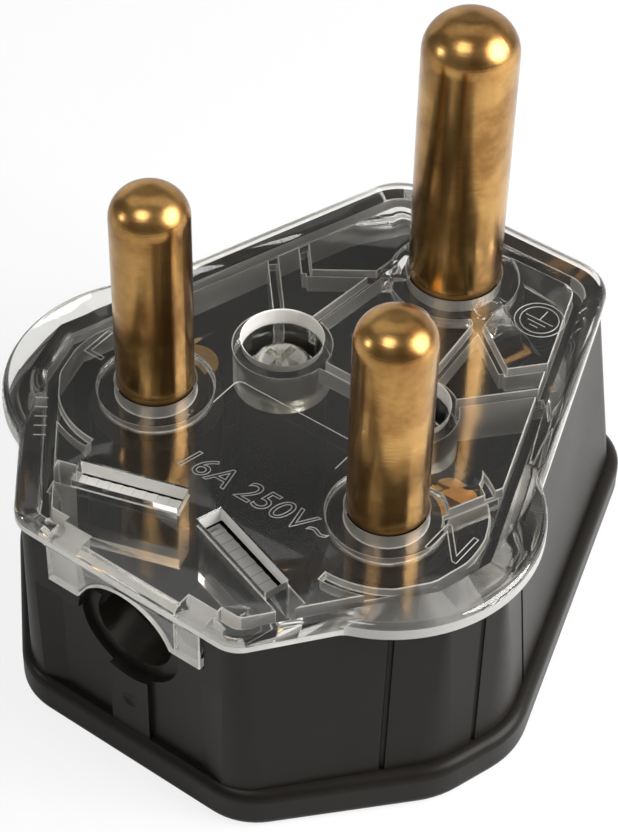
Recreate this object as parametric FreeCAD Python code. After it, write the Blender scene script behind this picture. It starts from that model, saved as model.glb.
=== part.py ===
import FreeCAD, Part
import math
import os

from FreeCAD import Vector

# Round-pin three-pin plug: a clear moulded cover on the pin side, a black moulded shell behind it and
# three solid brass pins held between the two. It stands on its back with the pins up.
#
# Plan sizes are measured from the line through the live and neutral pins: x runs from live (-) to
# neutral (+), y from the cord entry (-) to the earth pin (+). Depths are measured down from the face
# that the pins stand on. The finished pieces are shifted so that the origin is the middle of the base.

# Pins
pin_spacing = 25.4
earth_offset = 28.58
pin_diameter = 7.06
earth_diameter = 8.71
pin_reach = 21.5
earth_reach = 28.58
tip_flat = 0.9
tip_round_share = 0.93

# Body seen in plan: the outline of the cover and of the shell under it
face_height = 24.8
cover_front = 20.2
cover_back = 37.2
cover_front_half = 11.7
cover_back_half = 12.2
front_knuckle_x = 23.4
front_knuckle_y = -5.5
side_knuckle_x = 25.1
side_knuckle_y = 0.7
cover_front_round = 3.0
knuckle_round = 1.0
cover_back_round = 4.8
lobe_radius = 13.7
lobe_blend = 2.5

# Foot flange of the shell
flange_height = 4.4
flange_front_lip = 0.1
flange_back_lip = 1.2
flange_front_half = 12.3
flange_back_half = 15.6
flange_front_knuckle_x = 24.5
flange_front_knuckle_y = -7.0
flange_side_knuckle_x = 27.2
flange_side_knuckle_y = 1.2
flange_front_round = 6.5
flange_knuckle_round = 9.0
flange_back_round = 6.0
flange_ledge = 1.2
flange_edge_round = 1.1

# Cover plate and the rim under it that drops inside the shell
plate_thickness = 1.7
cover_overhang = 0.5
plate_edge_round = 0.7
rim_depth = 3.0
rim_thickness = 1.1
fit_gap = 0.15
rib_thickness = 0.9
rib_depth = 2.0
barrier_from_knuckle = 22.0
pocket_from_knuckle = 25.5
guard_rib_from_knuckle = 9.2
guard_rib_from_axis = 3.0
pocket_x = 11.1
pocket_before_earth = 8.2
guard_radius = 9.2
guard_depth = 1.3

# Shell walls
wall = 1.4
floor_thickness = 2.0
groove_radius = 0.28
groove_from_knuckle = 4.9
groove_between_knuckles = 4.0
scoop_depth = 0.5
scoop_half_width = 10.4
scoop_slope = 2.8
scoop_top_depth = 8.0
tongue_half_width = 2.1
gate_mark_radius = 0.8
gate_mark_depth = 0.25
gate_mark_drop = 3.2

# Cord entry: the cover arches over it, the shell holds its lower half
entry_radius = 5.3
entry_axis_depth = 8.0
entry_lip_radius = 4.0
entry_lip_setback = 1.1
arch_half_width = 8.3
arch_depth = 6.1
arch_thickness = 1.3
arch_setback = 0.1
leg_width = 3.0
leg_thickness = 2.5
saddle_half_width = 6.6
saddle_length = 3.2

# Cord-grip leaves: two moulded leaves that lean together in a V under slots in the plate
slot_length = 9.9
slot_width = 2.4
slot_angle = 17.7
slot_inner_x = 1.8
slot_inner_y = -8.85
leaf_thickness = 1.2
leaf_drop = 0.5
leaf_depth = 8.5
leaf_root = 2.2
tooth_pitch = 1.1
tooth_depth = 0.35

# Cover screws, their wells and the threaded inserts that take them
well_x = 7.0
well_y = 11.2
well_diameter = 7.5
well_wall = 0.8
screw_head_diameter = 5.6
screw_head_height = 2.3
screw_head_depth = 2.6
screw_diameter = 3.0
screw_length = 11.0
screw_hole_gap = 0.3
cross_length = 3.4
cross_width = 0.8
cross_depth = 1.2
well_floor = 1.4
boss_diameter = 8.4
insert_diameter = 5.0
insert_length = 7.0
thread_gap = 0.05

# Terminal end of each pin, under the cover
pin_hole_gap = 0.1
neck_relief = 0.25
collar_wall = 1.75
collar_depth = 1.2
shoulder_width = 1.2
block_top_depth = 7.0
block_height = 7.0
wing_width = 5.4
wing_turn = 14.0
wire_hole_diameter = 3.0
wire_hole_rise = 2.6
terminal_head_diameter = 5.0
terminal_head_height = 1.6
terminal_screw_diameter = 3.5
terminal_head_gap = 0.2
slot_cut_width = 0.9
slot_cut_depth = 0.8
post_inset = 0.5
cradle_wall = 1.2

# Smallest share of a rounding that is left when its outline moves inwards, how far cutters reach
# past the faces that they cut, and how close two measures are to count as the same
least_round_share = 0.25
cutter_margin = 1.0
same_within = 1e-3

# Places that follow from the sizes above
flange_front = cover_front + flange_front_lip
flange_back = cover_back + flange_back_lip
shell_front = cover_front - cover_overhang
rim_inset = cover_overhang + wall + fit_gap
plan_shift = (flange_front - flange_back) / 2
live_axis = Vector(-pin_spacing / 2, 0, 0)
neutral_axis = Vector(pin_spacing / 2, 0, 0)
earth_axis = Vector(0, earth_offset, 0)
plate_under = face_height - plate_thickness
collar_bottom = plate_under - collar_depth
rib_bottom = plate_under - rib_depth
cradle_top = rib_bottom - fit_gap
arch_front = cover_front - arch_setback
screw_seat = face_height - screw_head_depth - screw_head_height
well_bottom = screw_seat - well_floor
block_top = face_height - block_top_depth
block_bottom = block_top - block_height
entry_axis_height = face_height - entry_axis_depth
well_outer_radius = well_diameter / 2 + well_wall

up = Vector(0, 0, 1)


def both_sides(right_half):
    """Corners (x, y, rounding) of an outline that is the same left and right, counterclockwise."""
    left_half = [(-x, y, r) for x, y, r in reversed(right_half)]
    return right_half + left_half


def cover_corners():
    return both_sides([
        (cover_front_half, -cover_front, cover_front_round),
        (front_knuckle_x, front_knuckle_y, knuckle_round),
        (side_knuckle_x, side_knuckle_y, knuckle_round),
        (cover_back_half, cover_back, cover_back_round),
    ])


def shell_corners():
    """Top of the shell's walls, a little inside the cover's edge."""
    return inset(cover_corners(), cover_overhang)


def flange_corners():
    return both_sides([
        (flange_front_half, -flange_front, flange_front_round),
        (flange_front_knuckle_x, flange_front_knuckle_y, flange_knuckle_round),
        (flange_side_knuckle_x, flange_side_knuckle_y, flange_knuckle_round),
        (flange_back_half, flange_back, flange_back_round),
    ])


def plan_point(corners, i, height=0.0):
    """Corner of an outline as a point, counted on past the last one to the first."""
    x, y, rounding = corners[i % len(corners)]
    return Vector(x, y, height)


def inset(corners, distance):
    """The outline moved inwards by a wall's thickness, with its roundings made smaller to match."""
    moved = []
    for i, (x, y, r) in enumerate(corners):
        here = plan_point(corners, i)
        before = here - plan_point(corners, i - 1)
        after = plan_point(corners, i + 1) - here
        before.normalize()
        after.normalize()
        in_before = Vector(-before.y, before.x, 0)
        in_after = Vector(-after.y, after.x, 0)
        corner = here + (in_before + in_after) * (distance / (1 + in_before.dot(in_after)))
        moved.append((corner.x, corner.y, max(r - distance, r * least_round_share)))
    return moved


def wall_foot():
    """Foot of the shell's walls: upright under the cover at the front, on a ledge of the flange elsewhere."""
    inside = inset(flange_corners(), flange_ledge)
    return [(x, -shell_front if y < flange_front_knuckle_y else y, r) for x, y, r in inside]


def rounded_outline(corners, height=0.0):
    """Closed wire of straight sides joined by tangent arcs at the corners."""
    ends = []
    for i, (x, y, r) in enumerate(corners):
        here = plan_point(corners, i, height)
        to_before = plan_point(corners, i - 1, height) - here
        to_after = plan_point(corners, i + 1, height) - here
        to_before.normalize()
        to_after.normalize()
        half_angle = to_before.getAngle(to_after) / 2
        reach = r / math.tan(half_angle)
        middle_line = to_before + to_after
        middle_line.normalize()
        crown = here + middle_line * (r / math.sin(half_angle) - r)
        ends.append((here + to_before * reach, crown, here + to_after * reach))
    edges = []
    for i, (start, crown, end) in enumerate(ends):
        edges.append(Part.Arc(start, crown, end).toShape())
        edges.append(Part.LineSegment(end, ends[(i + 1) % len(ends)][0]).toShape())
    return Part.Wire(edges)


def prism(corners, bottom, top):
    face = Part.Face(rounded_outline(corners, bottom))
    return face.extrude(Vector(0, 0, top - bottom))


def post(axis, radius, bottom, top):
    return Part.makeCylinder(radius, top - bottom, Vector(axis.x, axis.y, bottom), up)


def bar(start, end, thickness, bottom, top):
    """Upright rib of even thickness from one plan point to another."""
    run = end - start
    solid = Part.makeBox(run.Length, thickness, top - bottom, Vector(0, -thickness / 2, bottom))
    solid.rotate(Vector(0, 0, 0), up, math.degrees(math.atan2(run.y, run.x)))
    solid.translate(Vector(start.x, start.y, 0))
    return solid


def mirrored(shape):
    return shape.mirror(Vector(0, 0, 0), Vector(1, 0, 0))


def rim_edges(solid, height):
    """Edges that lie flat at one height, all the way along."""
    return [e for e in solid.Edges if all(abs(v.Z - height) < same_within for v in e.Vertexes)
            and abs(e.CenterOfMass.z - height) < same_within]


def entry_bore(radius, front, back):
    return Part.makeCylinder(radius, back - front, Vector(0, front, entry_axis_height), Vector(0, 1, 0))


def plate():
    """Cover plate: the body's outline joined to a round finger guard about each of the two front pins."""
    flat = prism(cover_corners(), plate_under, face_height)
    for axis in (live_axis, neutral_axis):
        flat = flat.fuse(post(axis, lobe_radius, plate_under, face_height))
    flat = flat.removeSplitter()
    hollows = [e for e in flat.Edges if is_lobe_hollow(e)]
    flat = flat.makeFillet(lobe_blend, hollows)
    return flat.makeFillet(plate_edge_round, rim_edges(flat, face_height))


def is_lobe_hollow(edge):
    """True for the upright edges where a straight side runs into a finger guard."""
    x, y = abs(edge.CenterOfMass.x), edge.CenterOfMass.y
    upright = abs(edge.Vertexes[0].Z - edge.Vertexes[-1].Z) > plate_thickness / 2
    straight = abs(edge.Vertexes[0].X - edge.Vertexes[-1].X) < same_within
    on_guard = abs(math.hypot(x - pin_spacing / 2, y) - lobe_radius) < same_within
    return upright and straight and on_guard


def locating_rim():
    """Wall under the plate that drops just inside the shell, open where the cord arch stands."""
    bottom = plate_under - rim_depth
    ring = prism(inset(cover_corners(), rim_inset), bottom, plate_under)
    ring = ring.cut(prism(inset(cover_corners(), rim_inset + rim_thickness), bottom, plate_under))
    opening = Part.makeBox(2 * arch_half_width, cover_front, rim_depth,
                           Vector(-arch_half_width, -cover_front, bottom))
    return ring.cut(opening)


def cord_arch():
    """Front wall of the cover over the cord, with a leg at each side."""
    bottom = face_height - arch_depth
    depth = plate_under - bottom
    arch = Part.makeBox(2 * arch_half_width, arch_thickness, depth,
                        Vector(-arch_half_width, -arch_front, bottom))
    leg = Part.makeBox(leg_width, leg_thickness, depth,
                       Vector(arch_half_width - leg_width, -arch_front, bottom))
    return arch.fuse([leg, mirrored(leg)])


def slot_frame(shape):
    """Turns a shape drawn along a slot, from its inner end outwards, to where the right slot lies."""
    shape.rotate(Vector(0, 0, 0), up, -slot_angle)
    shape.translate(Vector(slot_inner_x, slot_inner_y, 0))
    return shape


def grip_slot():
    return slot_frame(Part.makeBox(slot_length, slot_width, plate_thickness,
                                   Vector(0, -slot_width, plate_under)))


def grip_leaf():
    """Springy leaf that hangs from a root at its outer end, with teeth across its upper edge."""
    top = plate_under - leaf_drop
    bottom = face_height - leaf_depth
    leaf = Part.makeBox(slot_length, leaf_thickness, top - bottom, Vector(0, -slot_width, bottom))
    root = Part.makeBox(leaf_root, slot_width, plate_under - bottom, Vector(slot_length, -slot_width, bottom))
    leaf = leaf.fuse(root)
    for i in range(int(slot_length / tooth_pitch)):
        notch = Part.makeBox(tooth_pitch / 2, leaf_thickness, tooth_depth,
                             Vector(i * tooth_pitch, -slot_width, top - tooth_depth))
        leaf = leaf.cut(notch)
    return slot_frame(leaf)


def stiffening_ribs():
    """Ribs under the plate that tie wells, collars and rim together, with barriers between the terminals."""
    barrier_bottom = well_bottom + fit_gap
    well = Vector(well_x, well_y, 0)
    rear_side = Vector(cover_back_half, cover_back, 0) - Vector(side_knuckle_x, side_knuckle_y, 0)
    rear_side.normalize()
    inward = Vector(-rear_side.y, rear_side.x, 0)
    side = Vector(side_knuckle_x, side_knuckle_y, 0) + inward * (rim_inset + rim_thickness / 2)
    pocket = Vector(pocket_x, earth_offset - pocket_before_earth, 0)
    beside_neutral = neutral_axis + Vector(guard_rib_from_axis, 0, 0)
    runs = [
        (well, side + rear_side * barrier_from_knuckle, barrier_bottom),
        (well, earth_axis + Vector(earth_diameter / 2 + collar_wall / 2, 0, 0), rib_bottom),
        (pocket, earth_axis, rib_bottom),
        (pocket, side + rear_side * pocket_from_knuckle, rib_bottom),
        (beside_neutral, side + rear_side * guard_rib_from_knuckle, rib_bottom),
    ]
    ribs = [bar(start, end, rib_thickness, bottom, plate_under) for start, end, bottom in runs]
    ribs += [mirrored(rib) for rib in ribs]
    ribs.append(bar(Vector(-well_x, well_y, 0), well, rib_thickness, rib_bottom, plate_under))
    return ribs


def guard_arc():
    """Half ring of a rib under the plate, round the outer side of the neutral pin and inside the rim."""
    bottom = plate_under - guard_depth
    ring = post(neutral_axis, guard_radius + rib_thickness / 2, bottom, plate_under)
    ring = ring.cut(post(neutral_axis, guard_radius - rib_thickness / 2, bottom, plate_under))
    outer_half = Part.makeBox(lobe_radius, 2 * lobe_radius, guard_depth,
                              neutral_axis + Vector(0, -lobe_radius, bottom))
    return ring.common(outer_half).common(prism(inset(cover_corners(), rim_inset), bottom, plate_under))


def front_cover():
    """Clear moulding: plate, locating rim, pin collars, screw wells, ribs, cord arch and grip leaves."""
    arc = guard_arc()
    solids = [locating_rim(), cord_arch(), arc, mirrored(arc)] + stiffening_ribs()
    for side in (-1, 1):
        solids.append(post(Vector(side * well_x, well_y, 0), well_outer_radius, well_bottom, plate_under))
    for axis, diameter in pins():
        solids.append(post(axis, diameter / 2 + collar_wall, collar_bottom, plate_under))
    leaf = grip_leaf()
    solids += [leaf, mirrored(leaf)]
    cover = plate().fuse(solids)
    behind_legs = leg_thickness - arch_front + cutter_margin
    cuts = [entry_bore(entry_radius, -arch_front - cutter_margin, behind_legs)]
    for side in (-1, 1):
        place = Vector(side * well_x, well_y, 0)
        cuts.append(post(place, well_diameter / 2, screw_seat, face_height))
        cuts.append(post(place, (screw_diameter + screw_hole_gap) / 2, well_bottom, screw_seat))
    for axis, diameter in pins():
        cuts.append(post(axis, diameter / 2 + pin_hole_gap, collar_bottom, face_height))
        cuts.append(post(axis, shoulder_radius(diameter) + pin_hole_gap, block_top, collar_bottom))
        cuts.append(post(terminal_place(axis, diameter), terminal_head_diameter / 2 + terminal_head_gap,
                         block_top, plate_under))
    slot = grip_slot()
    cuts += [slot, mirrored(slot)]
    return cover.cut(cuts).removeSplitter()


def pins():
    return ((live_axis, pin_diameter), (neutral_axis, pin_diameter), (earth_axis, earth_diameter))


def shoulder_radius(diameter):
    return diameter / 2 + shoulder_width


def terminal_place(axis, diameter):
    """Plan point of a pin's clamp screw: beside the pin, clear of its shoulder."""
    reach = shoulder_radius(diameter) + terminal_head_diameter / 2 + terminal_head_gap
    if axis.x == 0:
        return axis - Vector(0, reach, 0)
    turn = math.copysign(math.radians(wing_turn), axis.x)
    return axis + Vector(reach * math.sin(turn), reach * math.cos(turn), 0)


def terminal_block(axis, diameter, margin, bottom, top):
    """Round foot about the pin joined to a wing with a round end, seen in plan as a keyhole."""
    place = terminal_place(axis, diameter)
    foot = post(axis, shoulder_radius(diameter) - margin, bottom, top)
    end = post(place, wing_width / 2 - margin, bottom, top)
    return foot.fuse([end, bar(axis, place, wing_width - 2 * margin, bottom, top)]).removeSplitter()


def pin(axis, diameter, reach):
    """Solid pin with a rounded tip, a neck in the cover's hole, a shoulder and a drilled terminal wing."""
    tip = face_height + reach
    shaft = post(axis, diameter / 2, face_height, tip)
    shaft = shaft.makeFillet(tip_round_share * (diameter - tip_flat) / 2, rim_edges(shaft, tip))
    neck = post(axis, diameter / 2 - neck_relief, block_bottom, face_height)
    shoulder = post(axis, shoulder_radius(diameter), block_bottom, collar_bottom)
    body = terminal_block(axis, diameter, 0, block_bottom, block_top).fuse([shoulder, neck, shaft])
    place = terminal_place(axis, diameter)
    along = place - axis
    across = Vector(-along.y, along.x, 0)
    across.normalize()
    start = place - across * wing_width + Vector(0, 0, block_bottom + wire_hole_rise)
    wire_hole = Part.makeCylinder(wire_hole_diameter / 2, 2 * wing_width, start, across)
    screw_hole = post(place, terminal_screw_diameter / 2, block_bottom + wire_hole_rise, block_top)
    return body.cut([wire_hole, screw_hole]).removeSplitter()


def terminal_screw(axis, diameter):
    """Brass clamp screw with a slotted head, its end flush with the top of the wire hole."""
    place = terminal_place(axis, diameter)
    tip = block_bottom + wire_hole_rise + wire_hole_diameter / 2
    head_top = block_top + terminal_head_height
    shank = post(place, terminal_screw_diameter / 2, tip, block_top)
    screw = shank.fuse(post(place, terminal_head_diameter / 2, block_top, head_top))
    across = Vector(terminal_head_diameter / 2, 0, 0)
    slot = bar(place - across, place + across, slot_cut_width, head_top - slot_cut_depth, head_top)
    return screw.cut(slot)


def cover_screw(side):
    """Pan-head machine screw with a cross recess, seated on the floor of its well."""
    place = Vector(side * well_x, well_y, 0)
    head_top = screw_seat + screw_head_height
    head = post(place, screw_head_diameter / 2, screw_seat, head_top)
    head = head.makeFillet(screw_head_height / 2, rim_edges(head, head_top))
    shank = post(place, screw_diameter / 2, screw_seat - screw_length, screw_seat)
    arms = []
    for arm in (Vector(cross_length / 2, 0, 0), Vector(0, cross_length / 2, 0)):
        arms.append(bar(place - arm, place + arm, cross_width, head_top - cross_depth, head_top))
    return head.fuse(shank).cut(arms).removeSplitter()


def cover_insert(side):
    """Threaded brass bush pressed into the top of a boss of the shell."""
    place = Vector(side * well_x, well_y, 0)
    bush = post(place, insert_diameter / 2, well_bottom - insert_length, well_bottom)
    return bush.cut(post(place, screw_diameter / 2 + thread_gap, well_bottom - insert_length, well_bottom))


def wall_point(corners, first, second, distance):
    """Point on the straight side between two corners, so far from the first."""
    start = Vector(corners[first][0], corners[first][1], 0)
    run = Vector(corners[second][0], corners[second][1], 0) - start
    run.normalize()
    return start + run * distance


def grip_grooves():
    """Upright finger grooves in the sides: before, between and after the two knuckles."""
    low = wall_foot()
    high = shell_corners()
    runs = ((1, 0, groove_from_knuckle), (1, 2, groove_between_knuckles), (2, 3, groove_from_knuckle))
    cuts = []
    for first, second, distance in runs:
        foot = wall_point(low, first, second, distance) + Vector(0, 0, flange_height)
        head = wall_point(high, first, second, distance) + Vector(0, 0, plate_under)
        groove = Part.makeCylinder(groove_radius, (head - foot).Length, foot, head - foot)
        cuts += [groove, mirrored(groove)]
    return cuts


def finger_scoop():
    """Shallow hollow across the front below the cover's legs, with a tongue left standing in the middle."""
    inner = -shell_front + scoop_depth
    outside = -flange_front - cutter_margin
    edge = scoop_half_width
    floor_edge = scoop_half_width - scoop_slope
    points = [(-edge, outside), (-edge, -shell_front), (-floor_edge, inner),
              (floor_edge, inner), (edge, -shell_front), (edge, outside)]
    plan = [Vector(x, y, flange_height) for x, y in points]
    height = face_height - scoop_top_depth - flange_height
    hollow = Part.Face(Part.makePolygon(plan + plan[:1])).extrude(Vector(0, 0, height))
    tongue = Part.makeBox(2 * tongue_half_width, shell_front, height,
                          Vector(-tongue_half_width, -shell_front, flange_height))
    return hollow.cut(tongue)


def gate_mark():
    """Small round dimple on the tongue where the moulding was filled."""
    height = entry_axis_height - entry_radius - gate_mark_drop
    ball_radius = (gate_mark_radius ** 2 + gate_mark_depth ** 2) / (2 * gate_mark_depth)
    return Part.makeSphere(ball_radius, Vector(0, -shell_front + gate_mark_depth - ball_radius, height))


def shell_body():
    """Outside of the shell: a flange with rounded edges and a wall that leans in from it to the cover."""
    flange = prism(flange_corners(), 0, flange_height)
    edges = rim_edges(flange, 0) + rim_edges(flange, flange_height)
    flange = flange.makeFillet(flange_edge_round, edges)
    foot = rounded_outline(wall_foot(), flange_height)
    head = rounded_outline(shell_corners(), plate_under)
    walls = Part.makeLoft([foot, head], True, True)
    core = prism(wall_foot(), floor_thickness, flange_height)
    return flange.fuse([core, walls])


def pin_cradle(axis, diameter):
    """Ring of the shell that steadies a pin's foot, inside the cover's rim and open by the terminal wing."""
    ring = post(axis, shoulder_radius(diameter) + fit_gap + cradle_wall, floor_thickness, cradle_top)
    room = prism(inset(cover_corners(), rim_inset + rim_thickness + fit_gap), floor_thickness, cradle_top)
    return ring.common(room).cut(terminal_block(axis, diameter, -fit_gap, block_bottom, cradle_top))


def back_shell():
    """Black moulding: flange, fluted walls, cord entry, screw bosses, and posts and cradles for the pins."""
    cavity = prism(inset(shell_corners(), wall), floor_thickness, plate_under)
    body = shell_body().cut([cavity, finger_scoop(), gate_mark()] + grip_grooves())
    front_inside = -shell_front + wall
    inside = [Part.makeBox(2 * saddle_half_width, saddle_length, entry_axis_height - floor_thickness,
                           Vector(-saddle_half_width, front_inside, floor_thickness))]
    for side in (-1, 1):
        inside.append(post(Vector(side * well_x, well_y, 0), boss_diameter / 2, floor_thickness, well_bottom))
    for axis, diameter in pins():
        inside.append(terminal_block(axis, diameter, post_inset, floor_thickness, block_bottom))
        inside.append(pin_cradle(axis, diameter))
    body = body.fuse(inside)
    notch_half = arch_half_width + fit_gap
    notch_bottom = face_height - arch_depth
    cuts = [
        entry_bore(entry_radius, -flange_front, -shell_front + entry_lip_setback),
        entry_bore(entry_lip_radius, -flange_front, front_inside + saddle_length),
        Part.makeBox(2 * notch_half, flange_front - arch_front + leg_thickness + fit_gap,
                     plate_under - notch_bottom, Vector(-notch_half, -flange_front, notch_bottom)),
    ]
    for side in (-1, 1):
        place = Vector(side * well_x, well_y, 0)
        cuts.append(post(place, insert_diameter / 2, well_bottom - insert_length, well_bottom))
        cuts.append(post(place, (screw_diameter + screw_hole_gap) / 2,
                         screw_seat - screw_length - screw_hole_gap, well_bottom))
    return body.cut(cuts).removeSplitter()


def export(name, shape):
    shape.translate(Vector(0, plan_shift, 0))
    shape.exportStep("parts/" + name + ".step")
    print(name, "valid", shape.isValid(), "solids", len(shape.Solids), "volume", round(shape.Volume, 2))


os.makedirs("parts", exist_ok=True)
export("front_cover", front_cover())
export("back_shell", back_shell())
for name, axis, diameter, reach in (("live", live_axis, pin_diameter, pin_reach),
                                    ("neutral", neutral_axis, pin_diameter, pin_reach),
                                    ("earth", earth_axis, earth_diameter, earth_reach)):
    export(name + "_pin", pin(axis, diameter, reach))
    export(name + "_terminal_screw", terminal_screw(axis, diameter))
for name, side in (("left", -1), ("right", 1)):
    export("cover_screw_" + name, cover_screw(side))
    export("cover_insert_" + name, cover_insert(side))
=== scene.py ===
import math

import bmesh
import bpy
import numpy as np
from mathutils import Matrix, Vector


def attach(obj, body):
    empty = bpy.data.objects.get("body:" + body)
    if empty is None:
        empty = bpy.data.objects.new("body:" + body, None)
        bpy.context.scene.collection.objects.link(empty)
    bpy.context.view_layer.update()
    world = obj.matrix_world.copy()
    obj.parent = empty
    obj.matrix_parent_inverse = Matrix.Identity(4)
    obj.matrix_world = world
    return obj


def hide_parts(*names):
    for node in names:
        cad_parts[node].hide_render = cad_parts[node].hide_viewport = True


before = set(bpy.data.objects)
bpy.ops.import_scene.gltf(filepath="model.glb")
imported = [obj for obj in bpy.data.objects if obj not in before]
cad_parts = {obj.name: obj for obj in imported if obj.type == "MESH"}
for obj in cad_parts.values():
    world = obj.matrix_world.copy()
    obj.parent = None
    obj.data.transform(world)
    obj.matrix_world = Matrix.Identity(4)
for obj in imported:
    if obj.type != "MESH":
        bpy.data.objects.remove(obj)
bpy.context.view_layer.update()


# Back shell
# The black half of the plug: one thermoplastic moulding with a foot flange, leaning walls and fine grooves.
# Its skin is a fine satin from the tool, with soft clouds where handling has rubbed it a little glossier.
mm = 0.001


def linear(hex_colour):
    """sRGB hex to linear: c / 12.92 below 0.04045, otherwise ((c + 0.055) / 1.055) to the power 2.4."""
    channels = [int(hex_colour[i:i + 2], 16) / 255 for i in (1, 3, 5)]
    return tuple(c / 12.92 if c <= 0.04045 else ((c + 0.055) / 1.055) ** 2.4 for c in channels) + (1.0,)


def add(tree, kind, inputs, **settings):
    """Adds one shader node with its settings, and sets or links each of its inputs, which are given by name, or
    by number where a node has several of one name."""
    node = tree.nodes.new(kind)
    for name, value in settings.items():
        setattr(node, name, value)
    for socket, value in inputs.items():
        if isinstance(value, bpy.types.NodeSocket):
            tree.links.new(value, node.inputs[socket])
        else:
            node.inputs[socket].default_value = value
    return node


def new_material(name):
    """An empty node material, its tree, its object coordinates and its output."""
    material = bpy.data.materials.new(name)
    material.use_nodes = True
    tree = material.node_tree
    tree.nodes.clear()
    place = add(tree, "ShaderNodeTexCoord", {}).outputs["Object"]
    return material, tree, place, add(tree, "ShaderNodeOutputMaterial", {})


def dress(node_name, material):
    """Gives a solid of the frame its finished material."""
    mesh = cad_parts[node_name].data
    mesh.materials.clear()
    mesh.materials.append(material)


black_plastic, tree, place, out = new_material("black_moulded_plastic")
cloud_size = 9 * mm
grain_size = 0.22 * mm
cloud = add(tree, "ShaderNodeTexNoise", {"Vector": place, "Scale": 1 / cloud_size, "Detail": 4.0})
grain = add(tree, "ShaderNodeTexNoise", {"Vector": place, "Scale": 1 / grain_size, "Detail": 2.0})
tone = add(tree, "ShaderNodeMix", {0: cloud.outputs["Fac"], 6: linear("#13110e"), 7: linear("#1d1a16")},
           data_type="RGBA")
gloss = add(tree, "ShaderNodeMapRange", {0: cloud.outputs["Fac"], 3: 0.3, 4: 0.4})
skin = add(tree, "ShaderNodeBump", {"Height": grain.outputs["Fac"], "Strength": 0.25, "Distance": 0.02 * mm})
surface = add(tree, "ShaderNodeBsdfPrincipled", {"Base Color": tone.outputs[2], "Roughness": gloss.outputs[0],
                                                 "Normal": skin.outputs[0], "IOR": 1.5,
                                                 "Specular IOR Level": 0.12})
tree.links.new(surface.outputs[0], out.inputs[0])
dress("back_shell", black_plastic)


# Threaded inserts and clamp screws
# Small turned brass pieces: the bushes pressed into the shell's bosses, which take the cover screws, and the
# slotted screws that clamp the wires. Bright where the cutter left them.
turned_brass, tree, place, out = new_material("turned_brass")
turn_size = 0.5 * mm
turning = add(tree, "ShaderNodeTexNoise", {"Vector": place, "Scale": 1 / turn_size, "Detail": 3.0})
tone = add(tree, "ShaderNodeMix", {0: turning.outputs["Fac"], 6: linear("#a87b3c"), 7: linear("#d9b06a")},
           data_type="RGBA")
gloss = add(tree, "ShaderNodeMapRange", {0: turning.outputs["Fac"], 3: 0.24, 4: 0.4})
surface = add(tree, "ShaderNodeBsdfPrincipled", {"Base Color": tone.outputs[2], "Metallic": 1.0,
                                                 "Roughness": gloss.outputs[0]})
tree.links.new(surface.outputs[0], out.inputs[0])
for name in ("cover_insert_left", "cover_insert_right", "live_terminal_screw", "neutral_terminal_screw",
             "earth_terminal_screw"):
    dress(name, turned_brass)


# Pins
# Three solid pins turned from brass rod and domed at the tip. The cutter left fine lines round them, handling
# has browned them in soft patches, use has worn the domes matt, and painted shade darkens their ends under the
# cover.
aged_and_shaded_brass, tree, place, out = new_material("turned_brass_aged_and_shaded")
line_pitch = 0.12 * mm
line_length = 6 * mm
patch_size = 6 * mm
dark_below = 24.3 * mm
bright_above = 25.5 * mm
around = add(tree, "ShaderNodeMapping", {"Vector": place,
                                         "Scale": (1 / line_length, 1 / line_length, 1 / line_pitch)})
lines = add(tree, "ShaderNodeTexNoise", {"Vector": around.outputs[0], "Scale": 1.0, "Detail": 1.0})
patches = add(tree, "ShaderNodeTexNoise", {"Vector": place, "Scale": 1 / patch_size, "Detail": 5.0,
                                           "Roughness": 0.6})
aged = add(tree, "ShaderNodeMapRange", {0: patches.outputs["Fac"], 1: 0.38, 2: 0.62}, clamp=True)
tone = add(tree, "ShaderNodeMix", {0: aged.outputs[0], 6: linear("#be955a"), 7: linear("#8a6337")},
           data_type="RGBA")
height = add(tree, "ShaderNodeSeparateXYZ", {0: place}).outputs["Z"]
# Painted shade: from bright_above down to dark_below the brass is mixed to near-black brown, as shade inside the
# shell.
outside = add(tree, "ShaderNodeMapRange", {0: height, 1: dark_below, 2: bright_above}, clamp=True)
painted_shade_tone = add(tree, "ShaderNodeMix", {0: outside.outputs[0], 6: linear("#241a0c"), 7: tone.outputs[2]},
             data_type="RGBA")
polish = add(tree, "ShaderNodeMapRange", {0: patches.outputs["Fac"], 1: 0.3, 2: 0.7, 3: 0.17, 4: 0.26})
normal = add(tree, "ShaderNodeNewGeometry", {}).outputs["Normal"]
lean = add(tree, "ShaderNodeSeparateXYZ", {0: normal}).outputs["Z"]
dome = add(tree, "ShaderNodeMapRange", {0: lean, 1: 0.1, 2: 0.4}, clamp=True)
worn = add(tree, "ShaderNodeMix", {0: dome.outputs[0], 2: polish.outputs[0], 3: 0.28})
gloss = add(tree, "ShaderNodeMix", {0: outside.outputs[0], 2: 0.55, 3: worn.outputs[0]})
relief = add(tree, "ShaderNodeBump", {"Height": lines.outputs["Fac"], "Strength": 0.16, "Distance": 0.05 * mm})
surface = add(tree, "ShaderNodeBsdfPrincipled", {"Base Color": painted_shade_tone.outputs[2], "Metallic": 1.0,
                                                 "Roughness": gloss.outputs[0], "Normal": relief.outputs[0]})
tree.links.new(surface.outputs[0], out.inputs[0])
for name in ("live_pin", "neutral_pin", "earth_pin"):
    dress(name, aged_and_shaded_brass)


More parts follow.
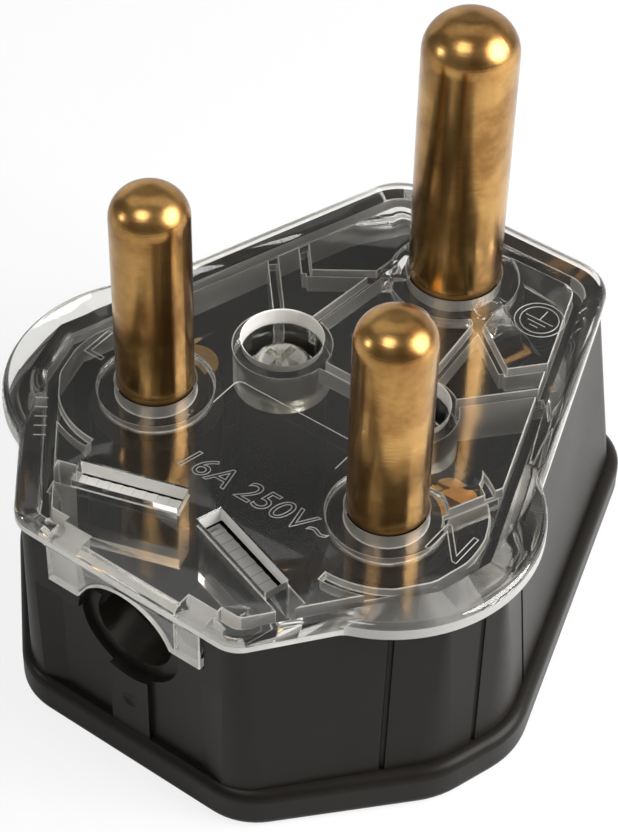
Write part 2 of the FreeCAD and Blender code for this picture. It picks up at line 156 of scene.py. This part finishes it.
# Front cover
# The clear half of the plug: one polycarbonate moulding with pin holes, screw wells, ribs, grip leaves and the
# arch over the cord. Faces from polished steel are clear, faces that slid along the tool are satin, and cut
# edges catch the light as white lines. It lies on the shell with a hair of air between them.
plate_top = 24.8 * mm
plate_under = 23.1 * mm
parting_height = 23.85 * mm
pin_line = -9.05 * mm
pin_out = 12.7 * mm
earth_back = 28.58 * mm
well_out, well_back = 7.0 * mm, 11.2 * mm
lobe_radius = 13.7 * mm
entry_height = 16.8 * mm
slot_turn = math.radians(17.7)
slot_out, slot_back = 1.8 * mm, -8.85 * mm
slot_length, slot_width = 9.9 * mm, 2.4 * mm
leaf_thickness = 1.2 * mm
leaf_grown_left, leaf_grown_right = 1.19 * mm, 0.95 * mm
leaf_rise, notch_rise = 0.42 * mm, 0.3 * mm
air_gap = 0.015 * mm
flat_width = 0.11 * mm
margin = 0.1 * mm
plastic_ior = 1.57


def welded_copy(node_name, gap):
    """A solid's mesh with its doubles merged and its flat upright faces joined, moved in by a gap."""
    work = bmesh.new()
    work.from_mesh(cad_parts[node_name].data)
    bmesh.ops.remove_doubles(work, verts=work.verts, dist=0.001 * mm)
    upright = [e for e in work.edges if all(abs(f.normal.z) < 0.5 for f in e.link_faces)]
    bmesh.ops.dissolve_limit(work, angle_limit=math.radians(0.5), verts=[], edges=upright)
    mesh = bpy.data.meshes.new(node_name + "_looks")
    work.to_mesh(mesh)
    work.free()
    places = np.empty(3 * len(mesh.vertices))
    normals = np.empty(3 * len(mesh.vertices))
    mesh.vertices.foreach_get("co", places)
    mesh.vertices.foreach_get("normal", normals)
    mesh.vertices.foreach_set("co", places - gap * normals)
    return mesh


def break_edges(mesh, width, strip_slot, spared):
    """Cuts a narrow flat along every edge that turns by more than 30 degrees, apart from rounded borders,
    edges between spared points and edges at points too close together for it."""
    work = bmesh.new()
    work.from_mesh(mesh)
    crowded = {v for e in work.edges if e.calc_length() < width / 2 for v in e.verts}
    turned = [e for e in work.edges if e.is_manifold and e.calc_face_angle() > math.radians(30)
              and all(f.normal.z < 0.1 or f.normal.z > 0.99 for f in e.link_faces)
              and not all(spared[v.index] for v in e.verts) and not crowded.intersection(e.verts)]
    bmesh.ops.bevel(work, geom=turned, offset=width, offset_type="OFFSET", segments=1, profile=0.5,
                    affect="EDGES", clamp_overlap=False, material=strip_slot)
    work.to_mesh(mesh)
    work.free()


def finish_piece(name, mesh, materials):
    """Shades a mesh smooth up to 25 degrees, gives it its materials and puts it in the scene on the body."""
    mesh.polygons.foreach_set("use_smooth", np.ones(len(mesh.polygons), bool))
    mesh.set_sharp_from_angle(angle=math.radians(25))
    for material in materials:
        mesh.materials.append(material)
    piece = bpy.data.objects.new(name, mesh)
    bpy.context.scene.collection.objects.link(piece)
    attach(piece, "root")
    return piece


def from_axis(points, out, back):
    """Distances in plan from the nearer of two upright axes, which stand out to each side of the middle and
    back from the line through the live and neutral pins: the root of the sum of both offsets squared."""
    return np.hypot(np.abs(points[:, 0]) - out, points[:, 1] - pin_line - back)


def slot_places(points):
    """Distances along and across the nearer grip slot: offsets from its inner back corner, turned with it."""
    reach = np.abs(points[:, 0]) - slot_out
    depth = points[:, 1] - pin_line - slot_back
    return (reach * math.cos(slot_turn) - depth * math.sin(slot_turn),
            reach * math.sin(slot_turn) + depth * math.cos(slot_turn))


def even_plastic(name, colour, roughness, through):
    """Clear plastic with one colour, one roughness and one share of light let through all over."""
    material, tree, place, out = new_material(name)
    surface = add(tree, "ShaderNodeBsdfPrincipled", {"Base Color": linear(colour), "Roughness": roughness,
                                                     "IOR": plastic_ior, "Transmission Weight": through})
    tree.links.new(surface.outputs[0], out.inputs[0])
    return material


def two_tone_plastic(name, split, through, roughness):
    """Clear plastic whose transmission and roughness change at a height, from the first value to the second."""
    material, tree, place, out = new_material(name)
    height = add(tree, "ShaderNodeSeparateXYZ", {0: place}).outputs["Z"]
    above = add(tree, "ShaderNodeMapRange", {0: height, 1: split - 0.08 * mm, 2: split + 0.08 * mm},
                clamp=True).outputs[0]
    clear = add(tree, "ShaderNodeMapRange", {0: above, 3: through[0], 4: through[1]}).outputs[0]
    gloss = add(tree, "ShaderNodeMapRange", {0: above, 3: roughness[0], 4: roughness[1]}).outputs[0]
    surface = add(tree, "ShaderNodeBsdfPrincipled", {"Base Color": linear("#f1efe9"), "Roughness": gloss,
                                                     "IOR": plastic_ior, "Transmission Weight": clear})
    tree.links.new(surface.outputs[0], out.inputs[0])
    return material


# Polished faces are clear, with a slow ripple where the melt flowed. Cut edges look white, slid faces grey and
# misty. The plate's border is misty below the parting line, and the wells' walls are misty above the plate's
# underside.
clear_plastic, tree, place, out = new_material("clear_polycarbonate")
flow_size = 11 * mm
flow = add(tree, "ShaderNodeTexNoise", {"Vector": place, "Scale": 1 / flow_size, "Detail": 2.0})
ripple = add(tree, "ShaderNodeBump", {"Height": flow.outputs["Fac"], "Strength": 0.05, "Distance": 0.2 * mm})
haze = add(tree, "ShaderNodeMapRange", {0: flow.outputs["Fac"], 1: 0.3, 2: 0.7, 3: 0.015, 4: 0.05})
surface = add(tree, "ShaderNodeBsdfPrincipled", {"Base Color": linear("#f8f7f3"), "Roughness": haze.outputs[0],
                                                 "IOR": plastic_ior, "Transmission Weight": 0.99,
                                                 "Normal": ripple.outputs[0]})
tree.links.new(surface.outputs[0], out.inputs[0])
edge_plastic = even_plastic("clear_polycarbonate_cut_edge", "#f1efe9", 0.4, 0.2)
satin_plastic = even_plastic("clear_polycarbonate_satin", "#c6c5c1", 0.32, 0.5)
band_plastic = two_tone_plastic("clear_polycarbonate_parting_band", parting_height, (0.55, 1.0), (0.6, 0.05))
dull_plastic = even_plastic("clear_polycarbonate_dull", "#f1efe9", 0.28, 1.0)
well_plastic = two_tone_plastic("clear_polycarbonate_well", plate_under, (1.0, 0.5), (0.04, 0.4))
clear_face, edge_face, satin_face, band_face, dull_face, well_face = range(6)

# The grip leaves are thickened across their slots and raised, their teeth made shallow, and two slivers under
# the plate pressed flat, before the edges are broken.
cover_mesh = welded_copy("front_cover", air_gap)
corners = np.empty(3 * len(cover_mesh.vertices))
cover_mesh.vertices.foreach_get("co", corners)
corners = corners.reshape(-1, 3)
along, across = slot_places(corners)
in_leaf = (along > -margin) & (along < slot_length + margin)
in_leaf &= (across > -slot_width - margin) & (across < margin - leaf_thickness) & (corners[:, 2] < 22.8 * mm)
leaf_back = in_leaf & (across > -leaf_thickness - margin)
leaf_top = in_leaf & (corners[:, 2] > 22.0 * mm)
in_notch = leaf_top & (corners[:, 2] < 22.45 * mm)
leaf_grown = np.where(corners[:, 0] > 0, leaf_grown_right, leaf_grown_left)
corners[leaf_back, 0] += (np.sign(corners[:, 0]) * leaf_grown * math.sin(slot_turn))[leaf_back]
corners[leaf_back, 1] += (leaf_grown * math.cos(slot_turn))[leaf_back]
corners[leaf_top, 2] += leaf_rise
corners[in_notch, 2] += notch_rise
out_x = np.abs(corners[:, 0])
sliver = (out_x > 12.6 * mm) & (out_x < 13.4 * mm) & (corners[:, 1] > 0.05 * mm) & (corners[:, 1] < 0.7 * mm)
sliver &= corners[:, 2] < plate_under + margin
corners[sliver, 2] = plate_under
cover_mesh.vertices.foreach_set("co", corners.ravel())
earth_seat = (from_axis(corners, 0.0, earth_back) < 6.3 * mm) & (corners[:, 2] < 22.5 * mm)
break_edges(cover_mesh, flat_width, edge_face, in_leaf | sliver | earth_seat)

# Each face takes the finish of the feature that it belongs to, found from where it lies and how it faces.
face_count = len(cover_mesh.polygons)
facing = np.empty(3 * face_count)
middle = np.empty(3 * face_count)
strips = np.empty(face_count, int)
cover_mesh.polygons.foreach_get("normal", facing)
cover_mesh.polygons.foreach_get("center", middle)
cover_mesh.polygons.foreach_get("material_index", strips)
facing = facing.reshape(-1, 3)
middle = middle.reshape(-1, 3)
flats = strips == edge_face
upright = np.abs(facing[:, 2]) < 0.3
in_plate = middle[:, 2] > plate_under
below = ~in_plate
out_x = np.abs(middle[:, 0])
plan_y = middle[:, 1] - pin_line
from_pin = from_axis(middle, pin_out, 0.0)
from_earth = from_axis(middle, 0.0, earth_back)
from_well = from_axis(middle, well_out, well_back)
in_hole = (from_pin < 4.2 * mm) | (from_earth < 5.0 * mm)
by_collar = (from_pin < 6.6 * mm) | (from_earth < 7.4 * mm)
on_lobe = np.abs(from_pin - lobe_radius) < 0.12 * mm
in_well = from_well < 4.2 * mm
by_tube = from_well < 4.7 * mm
along, across = slot_places(middle)
by_slot = (along > -2 * margin) & (along < slot_length + 2 * margin)
by_slot &= (across > -slot_width - 2 * margin) & (across < 2 * margin)
near_side = across < 2 * margin - slot_width
on_leaf = below & by_slot & (facing[:, 2] > 0.5)
by_arch = below & (plan_y < -15.4 * mm) & (out_x < 8.5 * mm)
in_entry = by_arch & (np.abs(facing[:, 1]) < 0.5) & (np.hypot(out_x, middle[:, 2] - entry_height) < 5.5 * mm)
on_leg = below & (plan_y < -16.9 * mm) & (plan_y > -19.6 * mm) & (out_x > 5.0 * mm) & (out_x < 11.0 * mm)
on_leg &= (facing[:, 1] > 0.3) | (facing[:, 2] > 0.5) | (out_x > 8.4 * mm)
kinds = np.full(face_count, clear_face)
for picked, kind in ((upright & in_plate, band_face),
                     (upright & in_plate & by_slot, edge_face),
                     (upright & in_plate & by_slot & near_side, clear_face),
                     (upright & below & ~by_tube & ~by_collar, satin_face),
                     (upright & below & by_tube & ~in_well, dull_face),
                     (upright & in_well, well_face),
                     (upright & in_hole, satin_face),
                     (below & by_slot, clear_face),
                     (below & by_slot & (facing[:, 2] < -0.5), dull_face),
                     (on_leaf & (middle[:, 0] > 0), satin_face),
                     (on_leaf & (middle[:, 0] <= 0), edge_face),
                     (upright & in_plate & on_lobe, satin_face),
                     (upright & by_arch, clear_face),
                     (on_leg, edge_face),
                     (in_entry | (by_arch & (facing[:, 2] < -0.7)), edge_face),
                     (flats, edge_face),
                     (flats & by_slot & (middle[:, 2] > plate_top - 3 * margin), clear_face)):
    kinds[picked] = kind
cover_mesh.polygons.foreach_set("material_index", kinds.astype(np.int32))
cover = finish_piece("front_cover_looks", cover_mesh, (clear_plastic, edge_plastic, satin_plastic, band_plastic,
                                                       dull_plastic, well_plastic))
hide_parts("front_cover")


# Marks on the cover
# Thin satin ridges that the tool leaves on the plate, standing up by less than a hair's width: the letters by
# the live and neutral pins, the earth sign, the rating, the line round the bare panel and five rim ticks.
# Their plan sizes are in millimetres from the line through the live and neutral pins.
ridge_width = 0.1 * mm
ridge_height = 0.07 * mm
ridge_sunk = 0.03 * mm


def ridge(path, closed, width, height, base):
    """Half-round ridge carried along a flat path: each point moved sideways along the joint's normal by
    width/2 times the cosine, and up by height times the sine, of an angle from 0 to 180 degrees."""
    ahead = np.roll(path, -1, 0) - path
    behind = path - np.roll(path, 1, 0)
    if not closed:
        ahead[-1] = behind[-1]
        behind[0] = ahead[0]
    ahead /= np.linalg.norm(ahead, axis=1, keepdims=True)
    behind /= np.linalg.norm(behind, axis=1, keepdims=True)
    joint = ahead + behind
    joint /= np.linalg.norm(joint, axis=1, keepdims=True)
    stretch = 1 / np.maximum((joint * ahead).sum(1), 0.4)
    side = np.stack([-joint[:, 1], joint[:, 0]], 1) * stretch[:, None]
    turn = np.linspace(0, math.pi, 7)
    flat = path[:, None, :] + side[:, None, :] * (width / 2 * np.cos(turn))[None, :, None]
    lift = np.broadcast_to(base + height * np.sin(turn), flat.shape[:2])
    grid = np.concatenate([flat, lift[:, :, None]], 2)
    rows, columns = grid.shape[:2]
    index = np.arange(rows * columns).reshape(rows, columns)
    after = np.roll(index, -1, 0) if closed else index[1:]
    before = index if closed else index[:-1]
    quads = np.stack([before, np.roll(before, -1, 1), np.roll(after, -1, 1), after], 2).reshape(-1, 4)
    ends = np.empty((0, columns), int) if closed else np.stack([index[0][::-1], index[-1]])
    return grid.reshape(-1, 3), quads, ends


def letter_outlines(words, size, shear):
    """Closed outlines of words in the plain built-in face, each cubic piece worked out at six steps."""
    data = bpy.data.curves.new("words", "FONT")
    data.body = words
    data.size = size
    data.shear = shear
    data.align_x = "CENTER"
    holder = bpy.data.objects.new("words", data)
    bpy.context.scene.collection.objects.link(holder)
    bpy.ops.object.select_all(action="DESELECT")
    bpy.context.view_layer.objects.active = holder
    holder.select_set(True)
    bpy.ops.object.convert(target="CURVE")
    t = np.linspace(0, 1, 6, endpoint=False)[None, :, None]
    outlines = []
    for spline in holder.data.splines:
        count = len(spline.bezier_points)
        knot, left, right = (np.empty(3 * count) for i in range(3))
        spline.bezier_points.foreach_get("co", knot)
        spline.bezier_points.foreach_get("handle_left", left)
        spline.bezier_points.foreach_get("handle_right", right)
        knot, left, right = (a.reshape(-1, 1, 3) for a in (knot, left, right))
        curve = ((1 - t) ** 3 * knot + 3 * (1 - t) ** 2 * t * right + 3 * (1 - t) * t ** 2 * np.roll(left, -1, 0)
                 + t ** 3 * np.roll(knot, -1, 0)).reshape(-1, 3)[:, :2]
        step = np.linalg.norm(np.roll(curve, -1, 0) - curve, axis=1)
        outlines.append(curve[step > 1e-3 * size])
    bpy.data.objects.remove(holder)
    return outlines


def ring(centre, radius):
    """Points round a circle: the centre plus the radius times the cosine and sine of 64 even angles."""
    turn = np.linspace(0, 2 * math.pi, 64, endpoint=False)
    return centre + radius * np.stack([np.cos(turn), np.sin(turn)], 1)


closed_paths = []
for words, size, shear, centre in (("L", 4.9, 0.0, (-19.2, -1.2)), ("N", 4.9, 0.0, (19.6, -2.0)),
                                   ("16A 250V~", 3.4, 0.25, (2.8, -7.1))):
    closed_paths += [path + centre for path in letter_outlines(words, size, shear)]
earth_centre = np.array((10.2, 27.5))
earth_stem = [(0, 1.4), (0, 0)]
earth_bars = [[(-half, -drop), (half, -drop)] for half, drop in ((1.45, 0.0), (0.95, 0.5), (0.45, 1.0))]
closed_paths += [ring(earth_centre, 2.3), ring(earth_centre, 1.8)]
open_paths = [earth_centre + np.array(path) for path in [earth_stem] + earth_bars]
first_tick, tick_step, tick_half = np.array((-19.0, -8.1)), np.array((0.72, -0.91)), np.array((0.45, 0.32))
rim_ticks = first_tick + np.arange(5)[:, None] * tick_step
open_paths += [np.array([tick - tick_half, tick + tick_half]) for tick in rim_ticks]
panel_half, panel_low, panel_high, panel_round = 6.7, 0.7, 4.3, 0.6
bend = np.linspace(0, math.pi / 2, 7)
corner = np.stack([panel_half - panel_round + panel_round * np.cos(bend),
                   panel_high - panel_round + panel_round * np.sin(bend)], 1)
open_paths.append(np.concatenate([[(panel_half, panel_low)], corner, corner[::-1] * (-1, 1),
                                  [(-panel_half, panel_low)]]))
vertices, faces, start = [], [], 0
for path, closed in [(p, True) for p in closed_paths] + [(p, False) for p in open_paths]:
    points, quads, ends = ridge(path * mm + (0, pin_line), closed, ridge_width, ridge_height,
                                plate_top - ridge_sunk)
    vertices.append(points)
    faces += (start + quads).tolist() + (start + ends).tolist()
    start += len(points)
marks_mesh = bpy.data.meshes.new("cover_marks")
marks_mesh.from_pydata(np.concatenate(vertices).tolist(), [], faces)
finish_piece("cover_marks", marks_mesh, (satin_plastic,))


# Cover screws
# Two zinc-plated steel pan-head machine screws with a cross recess, sunk in the clear wells and turned into
# the brass inserts. The plating is pale and a little cloudy.
zinc_steel, tree, place, out = new_material("zinc_plated_steel")
bloom_size = 0.8 * mm
bloom = add(tree, "ShaderNodeTexNoise", {"Vector": place, "Scale": 1 / bloom_size, "Detail": 3.0})
tone = add(tree, "ShaderNodeMix", {0: bloom.outputs["Fac"], 6: linear("#bdbdb8"), 7: linear("#e6e5df")},
           data_type="RGBA")
gloss = add(tree, "ShaderNodeMapRange", {0: bloom.outputs["Fac"], 3: 0.2, 4: 0.36})
surface = add(tree, "ShaderNodeBsdfPrincipled", {"Base Color": tone.outputs[2], "Metallic": 1.0,
                                                 "Roughness": gloss.outputs[0]})
tree.links.new(surface.outputs[0], out.inputs[0])
for name in ("cover_screw_left", "cover_screw_right"):
    dress(name, zinc_steel)


# Studio
# A white card table, with a backdrop behind it and a sheet hung over the back. The plate mirrors the dim room
# in the gap between those two. The card looks nearly white to the camera, through the plastic and in mirrors,
# though mirrors see the table darker. Softboxes: over the front, strong from behind right, weak low on the left.
table_half = 0.6
backdrop_rise = 0.31
sheet_low, sheet_high = 0.44, 0.62
card_glow = 0.8
floor_mirrored = 0.1
room_level = 0.19
card_corners = [(x * table_half, y * table_half, 0.0) for x, y in ((-1, -1), (1, -1), (1, 1), (-1, 1))]
card_corners += [(-0.66, 0.06, 0.0), (0.3, 0.72, 0.0), (0.3, 0.72, backdrop_rise), (-0.66, 0.06, backdrop_rise)]
card_corners += [(-0.6, -0.02, sheet_low), (0.36, 0.64, sheet_low), (0.51, 0.42, sheet_high),
                 (-0.45, -0.24, sheet_high)]
table_mesh = bpy.data.meshes.new("table")
table_mesh.from_pydata(card_corners, [], [(0, 1, 2, 3), (4, 5, 6, 7), (8, 9, 10, 11)])
table = bpy.data.objects.new("table", table_mesh)
bpy.context.scene.collection.objects.link(table)
white_card, tree, place, out = new_material("white_card")
glow = add(tree, "ShaderNodeEmission", {"Color": linear("#ffffff"), "Strength": 1.0})
path = add(tree, "ShaderNodeLightPath", {})
seen = add(tree, "ShaderNodeMath", {0: path.outputs["Is Camera Ray"],
                                    1: path.outputs["Is Transmission Ray"]}, operation="MAXIMUM")
height = add(tree, "ShaderNodeSeparateXYZ", {0: place}).outputs["Z"]
raised = add(tree, "ShaderNodeMapRange", {0: height, 1: 0.0, 2: 5 * mm, 3: floor_mirrored, 4: 1.0}, clamp=True)
mirrored = add(tree, "ShaderNodeMath", {0: path.outputs["Is Glossy Ray"], 1: raised.outputs[0]},
               operation="MULTIPLY")
shown = add(tree, "ShaderNodeMath", {0: seen.outputs[0], 1: mirrored.outputs[0]}, operation="MAXIMUM")
share = add(tree, "ShaderNodeMath", {0: shown.outputs[0], 1: card_glow}, operation="MULTIPLY")
card = add(tree, "ShaderNodeBsdfDiffuse", {"Color": linear("#e4e4e4")})
lifted = add(tree, "ShaderNodeMixShader", {0: share.outputs[0], 1: card.outputs[0], 2: glow.outputs[0]})
tree.links.new(lifted.outputs[0], out.inputs[0])
table_mesh.materials.append(white_card)

room = bpy.data.worlds.new("room")
bpy.context.scene.world = room
room.use_nodes = True
tree = room.node_tree
tree.nodes.clear()
path = add(tree, "ShaderNodeLightPath", {})
level = add(tree, "ShaderNodeMapRange", {0: path.outputs["Is Camera Ray"], 3: room_level, 4: 1.0})
air = add(tree, "ShaderNodeBackground", {"Color": linear("#f2f2f2"), "Strength": level.outputs[0]})
add(tree, "ShaderNodeOutputWorld", {"Surface": air.outputs[0]})


def softbox(name, direction, distance, width, watts):
    """Round lamp that stands out along a direction from the plug and faces it."""
    lamp = bpy.data.lights.new(name, "AREA")
    lamp.shape = "DISK"
    lamp.size = width
    lamp.energy = watts
    box = bpy.data.objects.new(name, lamp)
    towards = Vector(direction).normalized()
    turned = towards.to_track_quat("Z", "Y").to_matrix().to_4x4()
    box.matrix_world = Matrix.Translation(Vector((0, 0, 0.025)) + towards * distance) @ turned
    bpy.context.scene.collection.objects.link(box)


softbox("softbox_front", (0.03, -0.53, 0.85), 0.5, 0.25, 0.9)
softbox("softbox_right", (0.8, 0.34, 0.5), 0.32, 0.27, 2.1)
softbox("softbox_left", (-0.69, -0.66, 0.29), 0.5, 0.08, 0.3)


# Camera
# Looks down on the plug from in front and to its right, with a long lens and a slight roll. Its place and its
# focal length in pixels were fitted to the pins in a picture of 618 by 832 pixels.
azimuth = math.radians(35.98)
elevation = math.radians(44.52)
roll = math.radians(1.28)
reach = 216.88 * mm
aim = Vector((1.04 * mm, -4.56 * mm, plate_top))
image_width, image_height = 618, 832
focal_pixels = 2467.2
back = Vector((math.sin(azimuth) * math.cos(elevation), -math.cos(azimuth) * math.cos(elevation),
               math.sin(elevation)))
right = Vector((math.cos(azimuth), math.sin(azimuth), 0))
up = back.cross(right)
rolled_right = right * math.cos(roll) + up * math.sin(roll)
rolled_up = up * math.cos(roll) - right * math.sin(roll)
lens = bpy.data.cameras.new("camera")
lens.sensor_width = 36
lens.lens = lens.sensor_width * focal_pixels / max(image_width, image_height)
lens.clip_start = 0.005
camera = bpy.data.objects.new("camera", lens)
axes = Matrix((rolled_right, rolled_up, back)).transposed().to_4x4()
camera.matrix_world = Matrix.Translation(aim + back * reach) @ axes
bpy.context.scene.collection.objects.link(camera)
bpy.context.scene.camera = camera
bpy.context.scene.view_settings.view_transform = "Standard"
